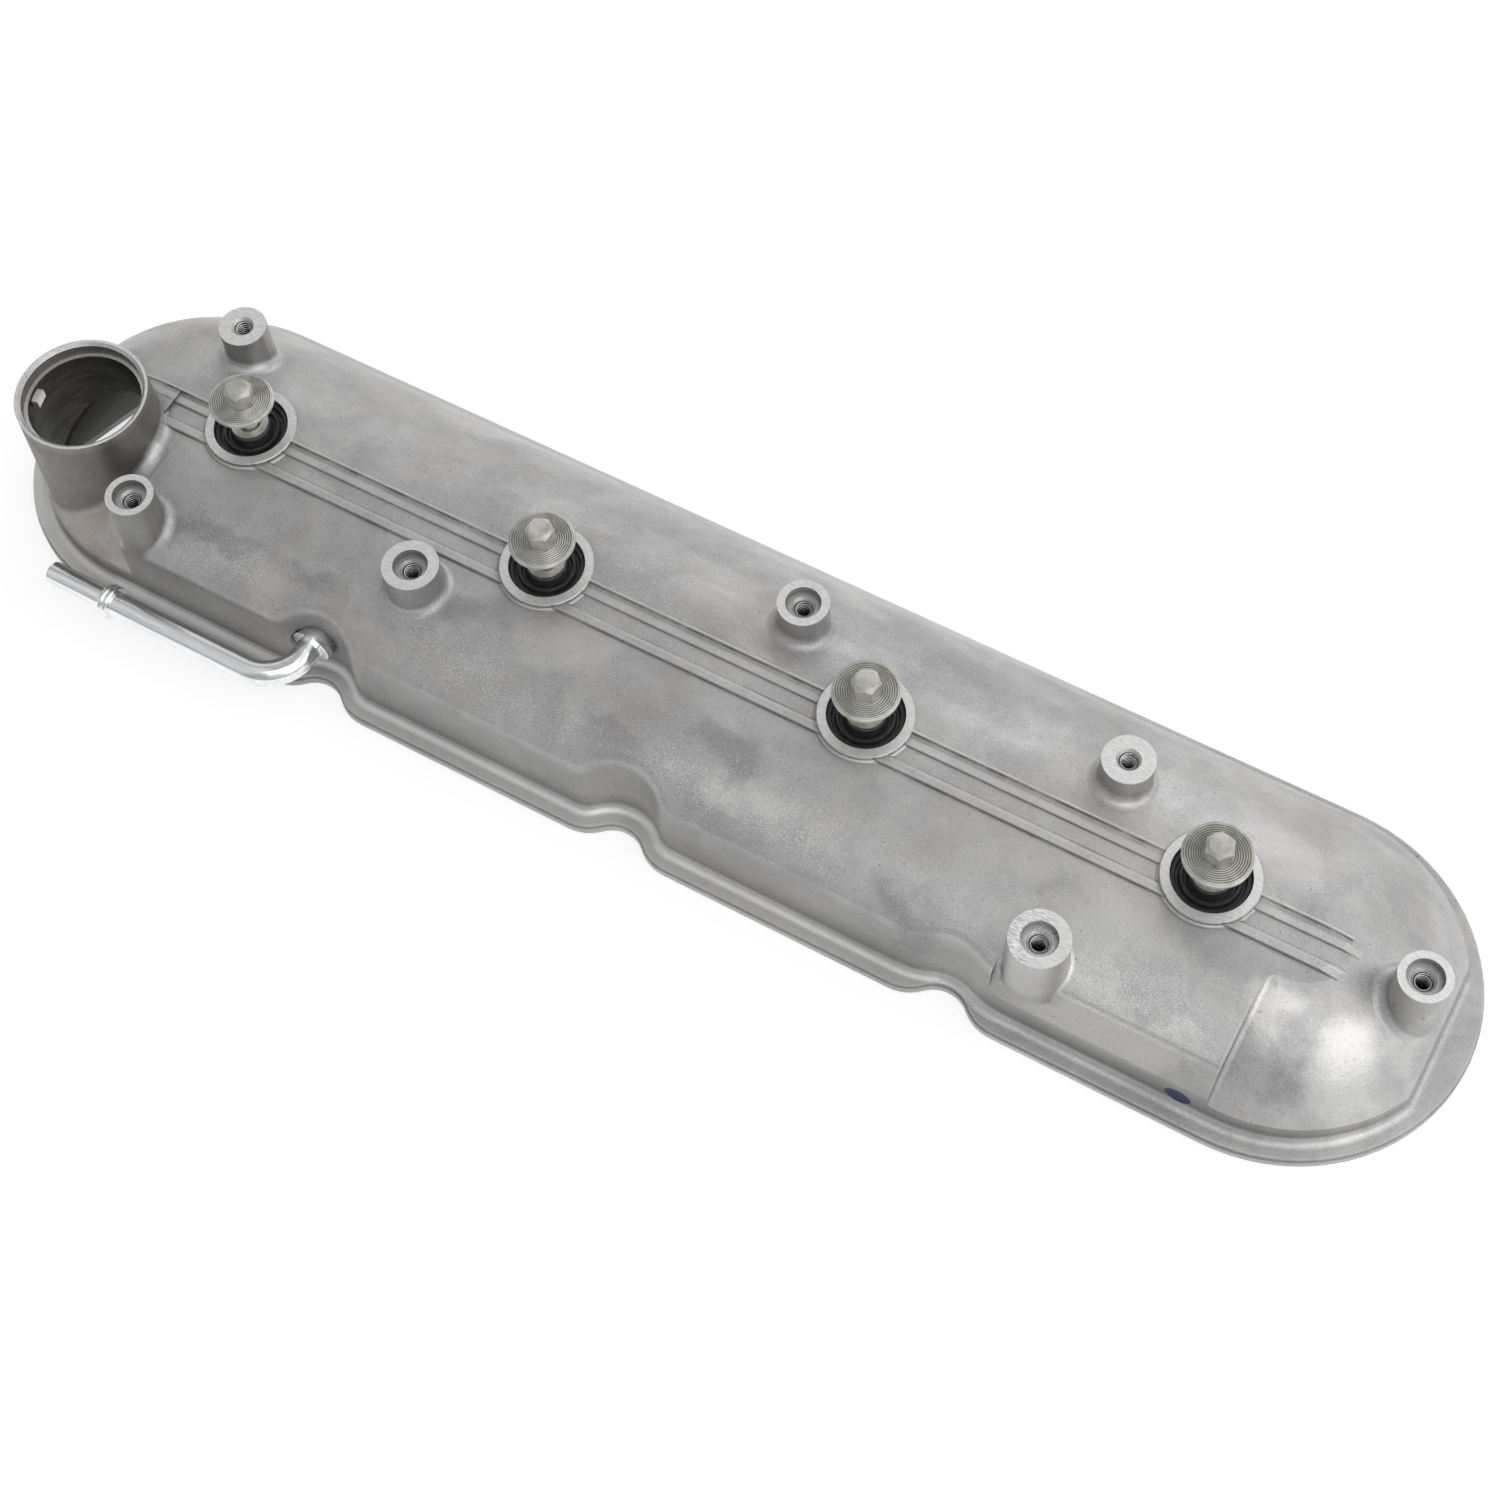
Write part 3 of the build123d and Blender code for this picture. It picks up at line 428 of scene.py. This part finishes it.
def bolt_coating():
    g = Graph("zinc flake coating")
    grain = g.noise(1500, 3, 0.6)
    colour = g.blend(g.rise(g.noise(250), 0.35, 0.65), (0.44, 0.442, 0.40), (0.60, 0.60, 0.55))
    colour = g.blend(g.rise(grain, 0.58, 0.72, 0, 0.5), colour, (0.74, 0.74, 0.70))
    colour = g.blend(g.rise(grain, 0.42, 0.30, 0, 0.4), colour, (0.16, 0.16, 0.14))
    # Painted shade in the corners of the bolt
    corner = g.rise(g.openness(0.5), 0.95, 0.55)
    colour = g.blend(g.times(corner, 0.8), colour, (0.10, 0.10, 0.085))

    # Painted shade in the valleys between the ridges of the flange, by the distance from the nearest bolt's axis
    x, y, _ = g.split(g.point)
    half_pitch = BOLT_PITCH / 2 * MM
    across = g.math("WRAP", g.math("SUBTRACT", x, half_pitch), half_pitch, -half_pitch)
    radius = g.math("SQRT", g.math("ADD", g.times(across, across), g.times(y, y)))
    turns = g.math("DIVIDE", g.math("SUBTRACT", radius, RIDGE_START * MM), RIDGE_PITCH * MM)
    valley = g.rise(g.math("PINGPONG", turns, 0.5), 0.24, 0.08)
    on_flange = g.times(
        g.rise_mm(radius, RIDGE_START - 0.22, RIDGE_START - 0.12),
        g.rise_mm(radius, FLANGE_RADIUS + 0.1, FLANGE_RADIUS - 0.1),
    )
    colour = g.blend(g.times(valley, on_flange, 0.72), colour, (0.10, 0.10, 0.085))
    # Painted highlights along the bolt's edges
    edge = g.rise(g.openness(0.3, inside=True), 0.85, 0.5)
    colour = g.blend(g.times(edge, 0.6), colour, (0.86, 0.86, 0.82))
    g.shader(
        Base_Color=colour, Roughness=g.rise(grain, 0.3, 0.7, 0.42, 0.55), Metallic=0.5,
        Normal=g.bump(grain, 0.04, 0.5),
    )
    return g.material


def plated(name, dark, light, smoothest, roughest, streaks=(60, 900, 900)):
    g = Graph(name)
    lines = g.noise(1.0, 3, 0.6, 0.2, g.scaled(streaks))
    g.shader(
        Base_Color=g.blend(g.rise(lines, 0.35, 0.65), dark, light),
        Roughness=g.rise(g.noise(600), 0.3, 0.7, smoothest, roughest),
        Metallic=1.0, Normal=g.bump(lines, 0.02, 0.3),
    )
    return g.material


def threads():
    """Cut thread, bright at the mouth of its hole, with painted shade below."""
    g = Graph("cut thread")
    z = g.split(g.point)[2]
    chatter = g.noise(900)
    colour = g.blend(chatter, (0.50, 0.50, 0.50), (0.86, 0.86, 0.86))
    # Painted shade deeper in the hole
    colour = g.blend(g.rise_mm(z, 49, 43, 0.0, 0.96), colour, (0.02, 0.02, 0.02))
    g.shader(Base_Color=colour, Roughness=0.26, Metallic=1.0, Normal=g.bump(chatter, 0.02, 0.3))
    return g.material


alloy = cast_aluminium()
black = rubber()
finishes = {
    "cover_casting": alloy,
    "cover_gasket": black,
    "grommet": black,
    "vent_tube": plated("bright plated tube", (0.80, 0.81, 0.82), (0.94, 0.95, 0.96), 0.15, 0.24),
    "vent_baffle": plated("rolled sheet", (0.34, 0.34, 0.35), (0.46, 0.46, 0.47), 0.28, 0.4, (40, 700, 700)),
    "baffle_screw": plated("plated screw", (0.40, 0.40, 0.38), (0.55, 0.55, 0.52), 0.25, 0.35, (400, 400, 400)),
    "bolt_sleeve": plated("dull plated sleeve", (0.78, 0.78, 0.73), (0.93, 0.93, 0.88), 0.30, 0.42, (500, 500, 500)),
    "cover_bolt": bolt_coating(),
}
for name, node in nodes.items():
    node.data.materials.clear()
    node.data.materials.append(finishes[name.rstrip("_0123456789")])


def casting_piece(name, points, faces, material):
    """A mesh piece on the casting, from points in mm."""
    mesh = bpy.data.meshes.new(name)
    mesh.from_pydata([tuple(v * MM for v in point) for point in points], [], faces)
    mesh.materials.append(material)
    for polygon in mesh.polygons:
        polygon.use_smooth = True
    obj = bpy.data.objects.new(name, mesh)
    bpy.context.collection.objects.link(obj)
    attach(obj, "cover")


def thread(name, x, y, top, material, depth=12.0, root=2.56, crest=2.12, pitch=1.0, around=28):
    """Thread of a hole: one ridge winding down from top, from the root radius to the crest radius."""
    points, faces = [], []
    steps = int(depth / pitch) * around
    half, land = 0.30 * pitch, 0.08 * pitch
    profile = [(root, half), (crest, land), (crest, -land), (root, -half)]
    for step in range(steps + 1):
        angle = 2 * math.pi * step / around
        z = top - half - pitch * step / around
        share = min(1.0, min(step, steps - step) / (around * 0.5))
        for radius, rise in profile:
            r = root + (radius - root) * share
            points.append((x + r * math.cos(angle), y + r * math.sin(angle), z + rise))
        if step:
            a, b = 4 * (step - 1), 4 * step
            for k in range(3):
                faces.append((a + k, a + k + 1, b + k + 1, b + k))
            faces.append((a + 3, a, b, b + 3))
    faces.append((3, 2, 1, 0))
    last = 4 * steps
    faces.append((last, last + 1, last + 2, last + 3))
    casting_piece(name, points, faces, material)


def bead(name, x, y, z, radius, height, around=14, rings=4, sunk=0.3):
    """Low round nub, its last ring sunk into the casting's skin."""
    points, faces = [(x, y, z + height)], []
    for ring in range(1, rings + 1):
        lean = math.pi / 2 * ring / rings
        for step in range(around):
            angle = 2 * math.pi * step / around
            points.append((
                x + radius * math.sin(lean) * math.cos(angle),
                y + radius * math.sin(lean) * math.sin(angle),
                z + height * math.cos(lean) - (sunk if ring == rings else 0),
            ))
    for step in range(around):
        after = (step + 1) % around
        faces.append((0, 1 + step, 1 + after))
        for ring in range(rings - 1):
            a, b = 1 + ring * around, 1 + (ring + 1) * around
            faces.append((a + step, b + step, b + after, a + after))
    casting_piece(name, points, faces, alloy)


cut_thread = threads()
for number, (x, y, mouth) in enumerate(BOSS_HOLES, 1):
    thread("boss_thread_%d" % number, x, y, mouth - 0.5, cut_thread)
for number, nub in enumerate(NUBS, 1):
    bead("cast_nub_%d" % number, *nub)


def floor_material():
    """Pale floor, white to the camera, to metal and to glass, that keeps the object's shadow."""
    g = Graph("pale floor")
    new, link = g.tree.nodes.new, g.tree.links.new
    path = new("ShaderNodeLightPath")
    seen = g.math("ADD", path.outputs["Is Camera Ray"], path.outputs["Is Glossy Ray"])
    seen = g.math("ADD", seen, path.outputs["Is Transmission Ray"], clamp=True)
    plain, white = new("ShaderNodeBsdfDiffuse"), new("ShaderNodeBsdfDiffuse")
    g.plug(plain.inputs["Color"], (FLOOR_GREY,) * 3)
    g.plug(white.inputs["Color"], (FLOOR_WHITE,) * 3)
    glow = new("ShaderNodeEmission")
    glow.inputs["Strength"].default_value = FLOOR_GLOW
    both, mix = new("ShaderNodeAddShader"), new("ShaderNodeMixShader")
    link(white.outputs[0], both.inputs[0])
    link(glow.outputs[0], both.inputs[1])
    link(seen, mix.inputs[0])
    link(plain.outputs[0], mix.inputs[1])
    link(both.outputs[0], mix.inputs[2])
    link(mix.outputs[0], g.output.inputs[0])
    return g.material


mesh = bpy.data.meshes.new("floor")
signs = [(-1, -1), (1, -1), (1, 1), (-1, 1)]
mesh.from_pydata([(FLOOR_HALF * x, FLOOR_HALF * y, 0) for x, y in signs], [], [(0, 1, 2, 3)])
mesh.materials.append(floor_material())
floor = bpy.data.objects.new("floor", mesh)
bpy.context.collection.objects.link(floor)

# World: soft even light, the same for every ray
world = bpy.data.worlds.new("studio")
bpy.context.scene.world = world
world.use_nodes = True
tree = world.node_tree
tree.nodes.clear()
out = tree.nodes.new("ShaderNodeOutputWorld")
light = tree.nodes.new("ShaderNodeBackground")
light.inputs["Color"].default_value = (1, 1, 1, 1)
light.inputs["Strength"].default_value = WORLD_STRENGTH
tree.links.new(light.outputs[0], out.inputs[0])

for compass, height, watts, width in SOFT_BOXES:
    turn, rise = math.radians(compass), math.radians(height)
    place = Vector((
        BOX_REACH * math.cos(rise) * math.cos(turn),
        BOX_REACH * math.cos(rise) * math.sin(turn),
        BOX_REACH * math.sin(rise),
    ))
    data = bpy.data.lights.new("box_%d_%d" % (compass, height), "AREA")
    data.shape = "RECTANGLE"
    data.size, data.size_y = width, BOX_HEIGHT
    data.energy = watts
    box = bpy.data.objects.new(data.name, data)
    bpy.context.collection.objects.link(box)
    box.location = place
    box.rotation_mode = "QUATERNION"
    box.rotation_quaternion = (Vector(BOX_TARGET) - place).to_track_quat("-Z", "Y")

data = bpy.data.cameras.new("camera")
data.sensor_width = SENSOR
data.lens = SENSOR * FOCAL_PIXELS / PHOTO_PIXELS
data.clip_start = 0.01
data.clip_end = 50
camera = bpy.data.objects.new("camera", data)
bpy.context.collection.objects.link(camera)
turn = Matrix((CAMERA_RIGHT, -CAMERA_DOWN, -CAMERA_AHEAD)).transposed().to_4x4()
camera.matrix_world = Matrix.Translation(CAMERA_PLACE) @ turn
bpy.context.scene.camera = camera
bpy.context.scene.view_settings.view_transform = "Standard"
